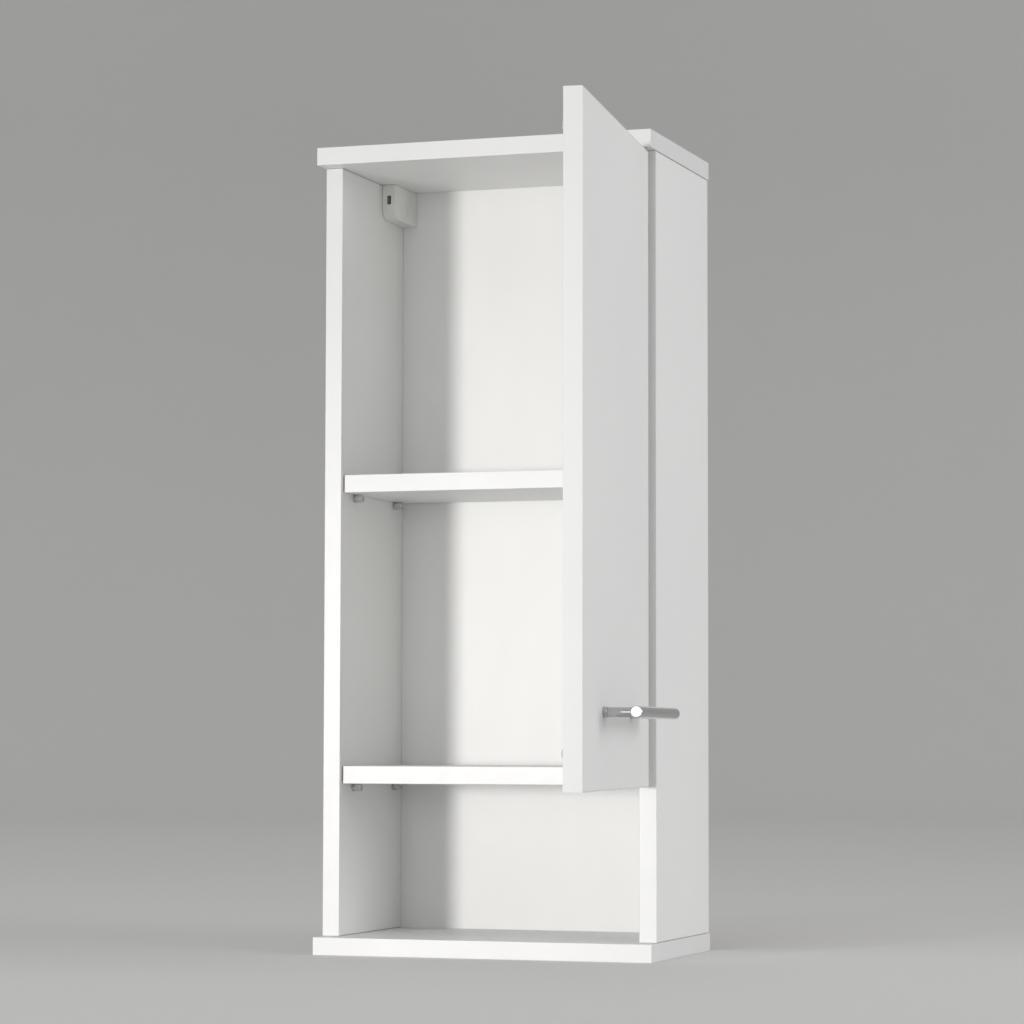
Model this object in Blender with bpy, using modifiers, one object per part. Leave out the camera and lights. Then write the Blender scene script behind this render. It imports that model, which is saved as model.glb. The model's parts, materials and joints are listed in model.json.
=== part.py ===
"""Wall-hung bathroom cabinet with one overlay door standing open, two shelves and an open niche.

The frame is in metres: X to the right along the cabinet's width, Y back into the wall, Z up.
The origin is on the wall plane, in the middle of the bottom panel's rear edge.
"""

import math

import bmesh
import bpy
from mathutils import Matrix, Vector

# Carcass
WIDTH = 0.312  # over the outer faces of the two side panels
HEIGHT = 0.725  # from the underside of the bottom panel to the top of the top panel
SIDE_DEPTH = 0.168  # of a side panel, from the wall to its front edge
BOARD = 0.016
PANEL_NOSE = 0.020  # of the top and bottom panels, past the sides' front edges
PANEL_OVERHANG = 0.001  # of the top and bottom panels, past the sides' outer faces
EDGE_RADIUS = 0.0006
GAP = 0.0003  # between pieces that touch

# Back panel in its groove
BACK_THICKNESS = 0.003
BACK_FROM_WALL = 0.009  # the space behind it, for the wall hooks
GROOVE_DEPTH = 0.005

# Shelves, measured from the bottom panel's underside to the shelf's underside
LOWER_SHELF_LEVEL = 0.152
UPPER_SHELF_LEVEL = 0.414
SHELF_SIDE_GAP = 0.001
SHELF_SETBACK = 0.005
SHELF_BACK_GAP = 0.001

# Shelf pins
PIN_RADIUS = 0.0025
PIN_IN_SIDE = 0.009
PIN_HEAD_RADIUS = 0.0035
PIN_HEAD_LENGTH = 0.0085
PIN_FROM_FRONT = 0.032
PIN_FROM_BACK = 0.023  # from the back panel's face

# Door, as it hangs when it is closed
DOOR_SIDE_REVEAL = 0.0015
DOOR_TOP_GAP = 0.002
DOOR_BACK_GAP = 0.002
DOOR_BELOW_SHELF = 0.001
DOOR_OPEN_DEG = 97.0
PIVOT_INSET = 0.0075  # the hinges' turning centre, inside the side's outer face
PIVOT_FORWARD = 0.0145  # and ahead of the side's front edge

# Bar handle
BAR_RADIUS = 0.005
BAR_LENGTH = 0.188
POST_SPACING = 0.128
POST_RADIUS = 0.0045
BAR_STANDOFF = 0.032  # from the door's face to the bar's axis
HANDLE_ABOVE_DOOR_EDGE = 0.063
BAR_END_RADIUS = 0.0008
HANDLE_SCREW_RADIUS = 0.002
HANDLE_SCREW_HEAD_RADIUS = 0.004
HANDLE_SCREW_HEAD_HEIGHT = 0.0025
HANDLE_SCREW_IN_POST = 0.010

# Door bumpers
BUMPER_RADIUS = 0.004
BUMPER_HEIGHT = 0.0013
BUMPER_FROM_DOOR_EDGE = 0.030

# Concealed hinges
HINGE_FROM_DOOR_END = 0.085
CUP_RADIUS = 0.0175
CUP_DEPTH = 0.0115
CUP_WALL = 0.002
CUP_FLOOR = 0.0012
CUP_EDGE_DISTANCE = 0.005  # of board left between the cup and the door's edge
FLANGE_THICKNESS = 0.0010
FLANGE_END = 0.0065  # of flange past each screw
FLANGE_WIDTH = 0.022
CUP_SCREW_DISTANCE = 0.005  # from the outside of the cup to a screw's axis
CUP_SCREW_RADIUS = 0.0016
CUP_SCREW_LENGTH = 0.012
PLATE_FROM_FRONT = 0.037
PLATE_SCREW_SPACING = 0.032
PLATE_HEIGHT = 0.048
PLATE_WIDTH = 0.018
PLATE_THICKNESS = 0.0030
PLATE_SCREW_RADIUS = 0.0019
PLATE_SCREW_COVER = 0.003  # of board left past a plate screw's end
RIDGE_LENGTH = 0.050
RIDGE_WIDTH = 0.010
PIN_INBOARD = 0.0093  # the arm's front pin, from the closed cup's axis
PIN_FORWARD = 0.0061  # and ahead of the closed door's inner face
ARM_HALF_THICKNESS = 0.0022
ARM_WIDTH = 0.015
ARM_LENGTH = 0.064
LINK_WIDTH = 0.009
LINK_SIDE_GAP = 0.0004
LINK_THICKNESS = 0.0018
LINK_HUB_RADIUS = 0.0020
LINK_ELBOW = (0.0102, -0.0118)  # from the arm's pin in plan, with the door open
LINK_TIP = (0.0166, -0.0138)
LINK_PIN_RADIUS = 0.0010
LINK_PIN_CLEARANCE = 0.00015

# Cabinet hangers under the top panel
HANGER_WIDTH = 0.0125
HANGER_DEPTH = 0.056
HANGER_HEIGHT = 0.032
HANGER_CORNER = 0.010
HANGER_SLOT = (0.0040, 0.024, 0.0082)
HANGER_SLOT_BELOW_TOP = 0.010
HANGER_SCREW_RADIUS = 0.0012
HANGER_SCREW_LENGTH = 0.010
HOOK_THICKNESS = 0.002
HOOK_HEIGHT = 0.016
HOOK_TIP_RISE = 0.008
HOOK_IN_HOUSING = 0.016

# Assembly screws through the top and bottom panels into the sides
ASSEMBLY_SCREW_RADIUS = 0.0025
ASSEMBLY_HEAD_RADIUS = 0.005
ASSEMBLY_HEAD_HEIGHT = 0.004
ASSEMBLY_SCREW_LENGTH = 0.045
ASSEMBLY_FROM_FRONT = 0.040
ASSEMBLY_FROM_WALL = 0.040
CAP_RADIUS = 0.006
CAP_HEIGHT = 0.0010

ROUND = 24
SMALL_ROUND = 12

# Levels and planes worked out from the sizes above
UNDERSIDE = -BOARD / 2
TOP = UNDERSIDE + HEIGHT
FLOOR_LEVEL = UNDERSIDE + BOARD
CEILING_LEVEL = TOP - BOARD
FRONT = -SIDE_DEPTH
OUTER_X = WIDTH / 2
INNER_X = OUTER_X - BOARD
BACK_FACE = -BACK_FROM_WALL - BACK_THICKNESS
LOWER_SHELF = UNDERSIDE + LOWER_SHELF_LEVEL
UPPER_SHELF = UNDERSIDE + UPPER_SHELF_LEVEL
DOOR_BOTTOM = LOWER_SHELF - DOOR_BELOW_SHELF
DOOR_TOP = CEILING_LEVEL - DOOR_TOP_GAP
DOOR_HALF_WIDTH = OUTER_X - DOOR_SIDE_REVEAL
DOOR_INNER = FRONT - DOOR_BACK_GAP
DOOR_OUTER = DOOR_INNER - BOARD
PIVOT_X = OUTER_X - PIVOT_INSET
PIVOT_Y = FRONT - PIVOT_FORWARD
HANDLE_LEVEL = DOOR_BOTTOM + HANDLE_ABOVE_DOOR_EDGE
HINGE_LEVELS = {
    "lower": DOOR_BOTTOM + HINGE_FROM_DOOR_END,
    "upper": DOOR_TOP - HINGE_FROM_DOOR_END,
}
CUP_X = DOOR_HALF_WIDTH - CUP_EDGE_DISTANCE - CUP_RADIUS
CUP_SCREW_RISE = CUP_RADIUS + CUP_SCREW_DISTANCE
ARM_X = CUP_X - PIN_INBOARD
ARM_Y = DOOR_INNER - PIN_FORWARD
PLATE_SCREW_LENGTH = BOARD - PLATE_SCREW_COVER

parts = None
cutters = None


def start_scene():
    global parts, cutters
    for obj in list(bpy.data.objects):
        bpy.data.objects.remove(obj, do_unlink=True)
    parts = bpy.data.collections.new("wall_cabinet")
    cutters = bpy.data.collections.new("cutters")
    bpy.context.scene.collection.children.link(parts)
    bpy.context.scene.collection.children.link(cutters)
    cutters.hide_render = True


def material(name, color, roughness, metallic=0.0):
    found = bpy.data.materials.get(name)
    if found:
        return found
    made = bpy.data.materials.new(name)
    made.use_nodes = True
    shader = made.node_tree.nodes["Principled BSDF"]
    shader.inputs["Base Color"].default_value = (*color, 1.0)
    shader.inputs["Roughness"].default_value = roughness
    shader.inputs["Metallic"].default_value = metallic
    return made


def white_board():
    return material("white_melamine", (0.86, 0.86, 0.85), 0.42)


def white_back():
    return material("white_hardboard", (0.85, 0.85, 0.84), 0.50)


def chrome():
    return material("polished_chrome", (0.72, 0.72, 0.73), 0.12, 1.0)


def zinc():
    return material("nickel_plated_steel", (0.62, 0.62, 0.60), 0.32, 1.0)


def white_plastic():
    return material("white_plastic", (0.82, 0.83, 0.81), 0.38)


def clear_plastic():
    return material("clear_grey_plastic", (0.55, 0.56, 0.56), 0.30)


def object_of(name, mesh, finish, parent=None):
    """A part's object in the parts collection, or a cutter where it has no finish."""
    obj = bpy.data.objects.new(name, mesh)
    if finish is None:
        cutters.objects.link(obj)
        obj.hide_render = True
        obj.display_type = "WIRE"
    else:
        parts.objects.link(obj)
        mesh.materials.append(finish)
    obj.parent = parent
    return obj


def mesh_from(name, bm):
    bmesh.ops.recalc_face_normals(bm, faces=bm.faces)
    mesh = bpy.data.meshes.new(name)
    bm.to_mesh(mesh)
    bm.free()
    mesh.shade_smooth()
    mesh.set_sharp_from_angle(angle=math.radians(30))
    return mesh


def box(name, low, high, finish=None, parent=None):
    """A box between two corners, with its origin at its centre."""
    low = Vector(low)
    high = Vector(high)
    bm = bmesh.new()
    bmesh.ops.create_cube(bm, size=1.0)
    bmesh.ops.scale(bm, vec=high - low, verts=bm.verts)
    obj = object_of(name, mesh_from(name, bm), finish, parent)
    obj.location = (low + high) / 2
    return obj


def rod(name, start, end, radius, finish=None, parent=None, sides=SMALL_ROUND):
    """A cylinder from one point to another, with its origin at the first."""
    start = Vector(start)
    run = Vector(end) - start
    bm = bmesh.new()
    turn = run.to_track_quat("Z", "Y").to_matrix().to_4x4()
    place = turn @ Matrix.Translation((0, 0, run.length / 2))
    bmesh.ops.create_cone(
        bm, cap_ends=True, segments=sides, radius1=radius, radius2=radius, depth=run.length, matrix=place
    )
    obj = object_of(name, mesh_from(name, bm), finish, parent)
    obj.location = start
    return obj


def turned(name, start, direction, profile, finish=None, parent=None, sides=SMALL_ROUND):
    """A solid turned about a line: the profile gives (distance along the line, radius), from end to end."""
    bm = bmesh.new()
    turn = Vector(direction).to_track_quat("Z", "Y").to_matrix()
    rings = []
    for along, radius in profile:
        points = [(math.tau * i / sides) for i in range(sides)]
        places = [turn @ Vector((radius * math.cos(a), radius * math.sin(a), along)) for a in points]
        rings.append([bm.verts.new(place) for place in places])
    for lower, upper in zip(rings, rings[1:]):
        for i in range(sides):
            after = (i + 1) % sides
            bm.faces.new((lower[i], lower[after], upper[after], upper[i]))
    bm.faces.new(list(reversed(rings[0])))
    bm.faces.new(rings[-1])
    obj = object_of(name, mesh_from(name, bm), finish, parent)
    obj.location = Vector(start)
    return obj


def extruded(name, outline, low_z, high_z, finish=None, parent=None):
    """A flat outline of (x, y) points drawn up from one level to another."""
    bm = bmesh.new()
    base = bm.faces.new([bm.verts.new((x, y, low_z)) for x, y in outline])
    drawn = bmesh.ops.extrude_face_region(bm, geom=[base])
    lifted = [item for item in drawn["geom"] if isinstance(item, bmesh.types.BMVert)]
    bmesh.ops.translate(bm, vec=(0, 0, high_z - low_z), verts=lifted)
    return object_of(name, mesh_from(name, bm), finish, parent)


def arc(centre, radius, start_deg, end_deg, steps):
    """Points along an arc in plan, both ends included."""
    turns = [math.radians(start_deg + (end_deg - start_deg) * i / steps) for i in range(steps + 1)]
    return [(centre[0] + radius * math.cos(t), centre[1] + radius * math.sin(t)) for t in turns]


def boolean(obj, tool, operation="DIFFERENCE"):
    change = obj.modifiers.new(tool.name, "BOOLEAN")
    change.operation = operation
    change.object = tool
    change.solver = "EXACT"


def bevel(obj, width=EDGE_RADIUS, segments=1):
    change = obj.modifiers.new("edges", "BEVEL")
    change.width = width
    change.segments = segments
    change.limit_method = "ANGLE"
    change.angle_limit = math.radians(50)


def loosened(profile, lead):
    """The hole for a turned piece: wider by the gap, deeper by the gap, and open at its start."""
    first_radius = profile[0][1] + GAP
    inner = [(along, radius + GAP) for along, radius in profile[1:-1]]
    along, radius = profile[-1]
    return [(-lead, first_radius), (profile[0][0], first_radius), *inner, (along + GAP, radius + GAP)]


def fit_into(name, start, direction, profile, hosts, parent=None, lead=0.002):
    """Cuts the hole of a turned piece from each board that it goes into."""
    tool = turned(name + "_hole", start, direction, loosened(profile, lead), None, parent)
    for host in hosts:
        boolean(host, tool)


def headed(head_radius, head_height, radius, length):
    """A screw's profile from the top of its head: a rounded head and a plain shank."""
    return [
        (0.0, head_radius * 0.7),
        (head_height * 0.4, head_radius),
        (head_height, head_radius),
        (head_height, radius),
        (length - radius, radius),
        (length, radius * 0.4),
    ]


def countersunk(head_radius, head_height, radius, length):
    return [
        (0.0, head_radius),
        (head_height * 0.3, head_radius),
        (head_height, radius),
        (length - radius, radius),
        (length, radius * 0.4),
    ]


def make_end_panel(name, low_z, groove_low, groove_high):
    """The top or bottom panel, which covers the sides' ends and the door's edge."""
    reach = OUTER_X + PANEL_OVERHANG
    panel = box(name, (-reach, FRONT - PANEL_NOSE, low_z), (reach, 0, low_z + BOARD), white_board())
    bevel(panel)
    half = INNER_X + GROOVE_DEPTH + GAP
    back = BACK_FACE + BACK_THICKNESS + GAP
    groove = box(name + "_groove", (-half, BACK_FACE - GAP, groove_low), (half, back, groove_high))
    boolean(panel, groove)
    return panel


def make_side_panel(name, sign):
    low_x, high_x = sorted((sign * INNER_X, sign * OUTER_X))
    low_z = FLOOR_LEVEL + GAP
    high_z = CEILING_LEVEL - GAP
    panel = box(name, (low_x, FRONT, low_z), (high_x, 0, high_z), white_board())
    bevel(panel)
    open_side = sign * (INNER_X - BOARD)
    groove_floor = sign * (INNER_X + GROOVE_DEPTH + GAP)
    groove_low, groove_high = sorted((open_side, groove_floor))
    back = BACK_FACE + BACK_THICKNESS + GAP
    low = (groove_low, BACK_FACE - GAP, low_z - BOARD)
    boolean(panel, box(name + "_groove", low, (groove_high, back, high_z + BOARD)))
    return panel


def make_back_panel():
    reach_x = INNER_X + GROOVE_DEPTH
    low = (-reach_x, BACK_FACE, FLOOR_LEVEL - GROOVE_DEPTH)
    high = (reach_x, BACK_FACE + BACK_THICKNESS, CEILING_LEVEL + GROOVE_DEPTH)
    return box("back_panel", low, high, white_back())


def make_shelf(name, underside):
    reach = INNER_X - SHELF_SIDE_GAP
    low = (-reach, FRONT + SHELF_SETBACK, underside)
    high = (reach, BACK_FACE - SHELF_BACK_GAP, underside + BOARD)
    bevel(box(name, low, high, white_board()))


def make_shelf_pins(level_name, underside, sides):
    """Four pins for one shelf: a peg in the side panel and a round head under the shelf."""
    axis_z = underside - GAP - PIN_HEAD_RADIUS
    places = {"front": FRONT + PIN_FROM_FRONT, "rear": BACK_FACE - PIN_FROM_BACK}
    shoulder = PIN_IN_SIDE + GAP
    profile = [
        (0.0, PIN_RADIUS * 0.7),
        (PIN_RADIUS * 0.3, PIN_RADIUS),
        (shoulder, PIN_RADIUS),
        (shoulder, PIN_HEAD_RADIUS),
        (shoulder + PIN_HEAD_LENGTH * 0.9, PIN_HEAD_RADIUS),
        (shoulder + PIN_HEAD_LENGTH, PIN_HEAD_RADIUS * 0.85),
    ]
    for side_name, (sign, panel) in sides.items():
        for place_name, y in places.items():
            name = f"shelf_pin_{level_name}_{side_name}_{place_name}"
            start = (sign * (INNER_X + PIN_IN_SIDE), y, axis_z)
            turned(name, start, (-sign, 0, 0), profile, clear_plastic())
            mouth = sign * (INNER_X - PIN_RADIUS)
            end = sign * (INNER_X + PIN_IN_SIDE + GAP)
            tool = rod(name + "_hole", (mouth, y, axis_z), (end, y, axis_z), PIN_RADIUS + GAP)
            boolean(panel, tool)


def make_assembly_screws(top_panel, bottom_panel, sides):
    """Screws through the top and bottom panels into the ends of the sides, and caps over the top ones."""
    profile = countersunk(
        ASSEMBLY_HEAD_RADIUS, ASSEMBLY_HEAD_HEIGHT, ASSEMBLY_SCREW_RADIUS, ASSEMBLY_SCREW_LENGTH
    )
    places = {"front": FRONT + ASSEMBLY_FROM_FRONT, "rear": -ASSEMBLY_FROM_WALL}
    for side_name, (sign, side_panel) in sides.items():
        x = sign * (OUTER_X - BOARD / 2)
        for place_name, y in places.items():
            for end_name, panel, z, way in (
                ("top", top_panel, TOP - GAP, -1),
                ("bottom", bottom_panel, UNDERSIDE + GAP, 1),
            ):
                name = f"assembly_screw_{end_name}_{side_name}_{place_name}"
                turned(name, (x, y, z), (0, 0, way), profile, zinc())
                fit_into(name, (x, y, z), (0, 0, way), profile, (panel, side_panel))
            cap_profile = [(0.0, CAP_RADIUS), (CAP_HEIGHT * 0.5, CAP_RADIUS), (CAP_HEIGHT, CAP_RADIUS * 0.8)]
            cap_name = f"screw_cap_{side_name}_{place_name}"
            turned(cap_name, (x, y, TOP + GAP), (0, 0, 1), cap_profile, white_plastic(), sides=ROUND)


def door_place(x, y, z):
    """A place on the closed door, counted from the pivot empty that turns it."""
    return (x - PIVOT_X, y - PIVOT_Y, z)


def make_door_pivot():
    pivot = bpy.data.objects.new("door_pivot", None)
    parts.objects.link(pivot)
    pivot.location = (PIVOT_X, PIVOT_Y, 0)
    pivot.rotation_euler = (0, 0, math.radians(DOOR_OPEN_DEG))
    return pivot


def make_door_panel(pivot):
    low = door_place(-DOOR_HALF_WIDTH, DOOR_OUTER, DOOR_BOTTOM)
    high = door_place(DOOR_HALF_WIDTH, DOOR_INNER, DOOR_TOP)
    panel = box("door_panel", low, high, white_board(), pivot)
    bevel(panel)
    return panel


def make_handle(pivot, door):
    """A round bar held off the door by two posts, each screwed on from behind the door."""
    bar_y = DOOR_OUTER - BAR_STANDOFF
    start = door_place(-BAR_LENGTH / 2, bar_y, HANDLE_LEVEL)
    profile = [
        (0.0, BAR_RADIUS - BAR_END_RADIUS),
        (BAR_END_RADIUS, BAR_RADIUS),
        (BAR_LENGTH - BAR_END_RADIUS, BAR_RADIUS),
        (BAR_LENGTH, BAR_RADIUS - BAR_END_RADIUS),
    ]
    turned("handle_bar", start, (1, 0, 0), profile, chrome(), pivot, ROUND)
    saddle_start = door_place(-BAR_LENGTH, bar_y, HANDLE_LEVEL)
    saddle_end = door_place(BAR_LENGTH, bar_y, HANDLE_LEVEL)
    saddle = rod("handle_saddle", saddle_start, saddle_end, BAR_RADIUS + GAP, None, pivot, ROUND)
    for side_name, x in (("free_side", -POST_SPACING / 2), ("hinge_side", POST_SPACING / 2)):
        base = door_place(x, DOOR_OUTER - GAP, HANDLE_LEVEL)
        top = door_place(x, bar_y, HANDLE_LEVEL)
        post = rod(f"handle_post_{side_name}", base, top, POST_RADIUS, chrome(), pivot, ROUND)
        boolean(post, saddle)
        head_top = door_place(x, DOOR_INNER + GAP + HANDLE_SCREW_HEAD_HEIGHT, HANDLE_LEVEL)
        length = HANDLE_SCREW_HEAD_HEIGHT + GAP + BOARD + GAP + HANDLE_SCREW_IN_POST
        screw = headed(HANDLE_SCREW_HEAD_RADIUS, HANDLE_SCREW_HEAD_HEIGHT, HANDLE_SCREW_RADIUS, length)
        name = f"handle_screw_{side_name}"
        turned(name, head_top, (0, -1, 0), screw, zinc(), pivot)
        hole_start = door_place(x, DOOR_INNER + GAP, HANDLE_LEVEL)
        hole_end = door_place(x, DOOR_OUTER - 2 * GAP - HANDLE_SCREW_IN_POST, HANDLE_LEVEL)
        hole = rod(name + "_hole", hole_start, hole_end, HANDLE_SCREW_RADIUS + GAP, None, pivot)
        boolean(door, hole)
        boolean(post, hole)


def make_door_bumpers(pivot):
    """Clear dots near the door's free edge, which meet the left side panel's front edge."""
    x = -(OUTER_X - BOARD / 2)
    profile = [(0.0, BUMPER_RADIUS), (BUMPER_HEIGHT * 0.5, BUMPER_RADIUS), (BUMPER_HEIGHT, BUMPER_RADIUS * 0.6)]
    levels = {"lower": DOOR_BOTTOM + BUMPER_FROM_DOOR_EDGE, "upper": DOOR_TOP - BUMPER_FROM_DOOR_EDGE}
    for name, z in levels.items():
        start = door_place(x, DOOR_INNER + GAP, z)
        turned(f"door_bumper_{name}", start, (0, 1, 0), profile, clear_plastic(), pivot)


def make_hinge_cup(name, level, pivot, door):
    """The cup let into the door, with the flange that its two screws hold."""
    seat = DOOR_INNER + GAP
    rim = seat + FLANGE_THICKNESS
    flange_x = CUP_X - FLANGE_WIDTH / 4
    half_length = CUP_SCREW_RISE + FLANGE_END
    low = door_place(flange_x - FLANGE_WIDTH / 2, seat, level - half_length)
    high = door_place(flange_x + FLANGE_WIDTH / 2, rim, level + half_length)
    cup = box(f"hinge_cup_{name}", low, high, zinc(), pivot)
    outside = (door_place(CUP_X, rim, level), door_place(CUP_X, seat - CUP_DEPTH, level))
    boolean(cup, rod(f"hinge_cup_{name}_bowl", *outside, CUP_RADIUS, None, pivot, ROUND), "UNION")
    floor = seat - CUP_DEPTH + CUP_FLOOR
    inside = (door_place(CUP_X, rim + FLANGE_THICKNESS, level), door_place(CUP_X, floor, level))
    boolean(cup, rod(f"hinge_cup_{name}_inside", *inside, CUP_RADIUS - CUP_WALL, None, pivot, ROUND))
    hole = (door_place(CUP_X, rim, level), door_place(CUP_X, seat - CUP_DEPTH - GAP, level))
    boolean(door, rod(f"hinge_cup_{name}_hole", *hole, CUP_RADIUS + GAP, None, pivot, ROUND))
    profile = countersunk(CUP_SCREW_RADIUS * 2, CUP_SCREW_RADIUS, CUP_SCREW_RADIUS, CUP_SCREW_LENGTH)
    for end_name, rise in (("bottom", -CUP_SCREW_RISE), ("top", CUP_SCREW_RISE)):
        start = door_place(flange_x, rim, level + rise)
        screw_name = f"hinge_cup_screw_{name}_{end_name}"
        turned(screw_name, start, (0, -1, 0), profile, zinc(), pivot)
        fit_into(screw_name, start, (0, -1, 0), profile, (cup, door), pivot)


def make_hinge_plate(name, level, side_panel):
    """The mounting plate screwed to the side panel, with the ridge that carries the arm."""
    face = INNER_X - GAP
    y = FRONT + PLATE_FROM_FRONT
    low = (face - PLATE_THICKNESS, y - PLATE_WIDTH / 2, level - PLATE_HEIGHT / 2)
    plate = box(f"hinge_plate_{name}", low, (face, y + PLATE_WIDTH / 2, level + PLATE_HEIGHT / 2), zinc())
    ridge_front = FRONT + PLATE_FROM_FRONT - RIDGE_LENGTH / 2 - RIDGE_WIDTH / 4
    ridge_low = (ARM_X + ARM_HALF_THICKNESS + GAP, ridge_front, level - RIDGE_WIDTH / 2)
    ridge_high = (face, ridge_front + RIDGE_LENGTH, level + RIDGE_WIDTH / 2)
    boolean(plate, box(f"hinge_plate_{name}_ridge", ridge_low, ridge_high), "UNION")
    head = PLATE_SCREW_RADIUS
    profile = headed(PLATE_SCREW_RADIUS * 1.9, head, PLATE_SCREW_RADIUS, PLATE_SCREW_LENGTH + PLATE_THICKNESS)
    for end_name, rise in (("bottom", -PLATE_SCREW_SPACING / 2), ("top", PLATE_SCREW_SPACING / 2)):
        z = level + rise
        start = (face - PLATE_THICKNESS - GAP - head, y, z)
        turned(f"hinge_plate_screw_{name}_{end_name}", start, (1, 0, 0), profile, zinc())
        end_x = face + PLATE_SCREW_LENGTH
        hole_start = (start[0] + head, y, z)
        hole = rod(f"hinge_plate_{name}_{end_name}_hole", hole_start, (end_x, y, z), PLATE_SCREW_RADIUS + GAP)
        boolean(plate, hole)
        boolean(side_panel, hole)


def make_hinge_arm(name, level):
    """The flat arm on the plate's ridge, forked at its round nose for the link."""
    nose = arc((ARM_X, ARM_Y), ARM_HALF_THICKNESS, 180, 360, 8)
    rear = ARM_Y + ARM_LENGTH
    outline = [*nose, (ARM_X + ARM_HALF_THICKNESS, rear), (ARM_X - ARM_HALF_THICKNESS, rear)]
    half = ARM_WIDTH / 2
    arm = extruded(f"hinge_arm_{name}", outline, level - half, level + half, zinc())
    slot_half = LINK_WIDTH / 2 + LINK_SIDE_GAP
    slot_rear = ARM_Y + LINK_HUB_RADIUS + 3 * GAP
    slot_low = (ARM_X - BOARD, ARM_Y - BOARD, level - slot_half)
    boolean(arm, box(f"hinge_arm_{name}_slot", slot_low, (ARM_X + BOARD, slot_rear, level + slot_half)))
    pin_half = half - GAP
    ends = ((ARM_X, ARM_Y, level - pin_half), (ARM_X, ARM_Y, level + pin_half))
    rod(f"hinge_pin_{name}", *ends, LINK_PIN_RADIUS, zinc())
    bore_ends = ((ARM_X, ARM_Y, level - ARM_WIDTH), (ARM_X, ARM_Y, level + ARM_WIDTH))
    bore = rod(f"hinge_pin_{name}_bore", *bore_ends, LINK_PIN_RADIUS + LINK_PIN_CLEARANCE)
    boolean(arm, bore)
    return bore


def strip_outline(points, half):
    """The outline of a flat strip bent at its middle point, with a mitre there and square ends."""
    start, elbow, tip = (Vector(point) for point in points)
    first = (elbow - start).normalized()
    last = (tip - elbow).normalized()
    side_a = Vector((-first.y, first.x))
    side_b = Vector((-last.y, last.x))
    mitre = (side_a + side_b).normalized()
    mitre *= half / mitre.dot(side_a)
    left = [start + side_a * half, elbow + mitre, tip + side_b * half]
    right = [tip - side_b * half, elbow - mitre, start - side_a * half]
    return [tuple(point) for point in left + right]


def make_hinge_link(name, level, bore):
    """The bent link from the arm's pin into the cup, with its origin on the pin."""
    half = LINK_WIDTH / 2
    outline = strip_outline([(0, 0), LINK_ELBOW, LINK_TIP], LINK_THICKNESS / 2)
    link = extruded(f"hinge_link_{name}", outline, -half, half, zinc())
    link.location = (ARM_X, ARM_Y, level)
    hub_ends = ((ARM_X, ARM_Y, level - half), (ARM_X, ARM_Y, level + half))
    boolean(link, rod(f"hinge_link_{name}_hub", *hub_ends, LINK_HUB_RADIUS), "UNION")
    boolean(link, bore)


def make_hinge(name, level, pivot, door, side_panel):
    make_hinge_cup(name, level, pivot, door)
    make_hinge_plate(name, level, side_panel)
    bore = make_hinge_arm(name, level)
    make_hinge_link(name, level, bore)


def make_hanger(side_name, sign, back_panel):
    """The plastic housing in the top rear corner, its steel wall hook and its adjusting screw."""
    centre_x = sign * (INNER_X - GAP - HANGER_WIDTH / 2)
    top = CEILING_LEVEL - GAP
    rear = BACK_FACE - GAP
    front = rear - HANGER_DEPTH
    half = HANGER_WIDTH / 2
    low = (centre_x - half, front, top - HANGER_HEIGHT)
    housing = box(f"hanger_housing_{side_name}", low, (centre_x + half, rear, top), white_plastic())
    round_lower_corner(housing, side_name, centre_x, front, top - HANGER_HEIGHT)
    width, depth, height = HANGER_SLOT
    slot_top = top - HANGER_SLOT_BELOW_TOP
    slot_low = (centre_x - width / 2, front - width, slot_top - height)
    slot_high = (centre_x + width / 2, front + depth, slot_top)
    boolean(housing, box(f"hanger_{side_name}_slot", slot_low, slot_high))
    hook_level = slot_top - height / 2
    make_hanger_hook(side_name, centre_x, hook_level, rear, housing, back_panel)
    screw = headed(width / 2 - GAP, HANGER_SCREW_RADIUS, HANGER_SCREW_RADIUS, HANGER_SCREW_LENGTH)
    start = (centre_x, front + depth - HANGER_SCREW_LENGTH - GAP, hook_level)
    turned(f"hanger_screw_{side_name}", start, (0, 1, 0), screw, zinc())


def round_lower_corner(housing, side_name, centre_x, front, bottom):
    """Takes the housing's lower front corner off along a quarter circle."""
    reach = HANGER_WIDTH
    low = (centre_x - reach, front - HANGER_CORNER, bottom - HANGER_CORNER)
    high = (centre_x + reach, front + HANGER_CORNER, bottom + HANGER_CORNER)
    corner = box(f"hanger_{side_name}_corner", low, high)
    centre_y = front + HANGER_CORNER
    centre_z = bottom + HANGER_CORNER
    ends = ((centre_x - 2 * reach, centre_y, centre_z), (centre_x + 2 * reach, centre_y, centre_z))
    boolean(corner, rod(f"hanger_{side_name}_round", *ends, HANGER_CORNER, sides=2 * ROUND))
    boolean(housing, corner)


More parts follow.
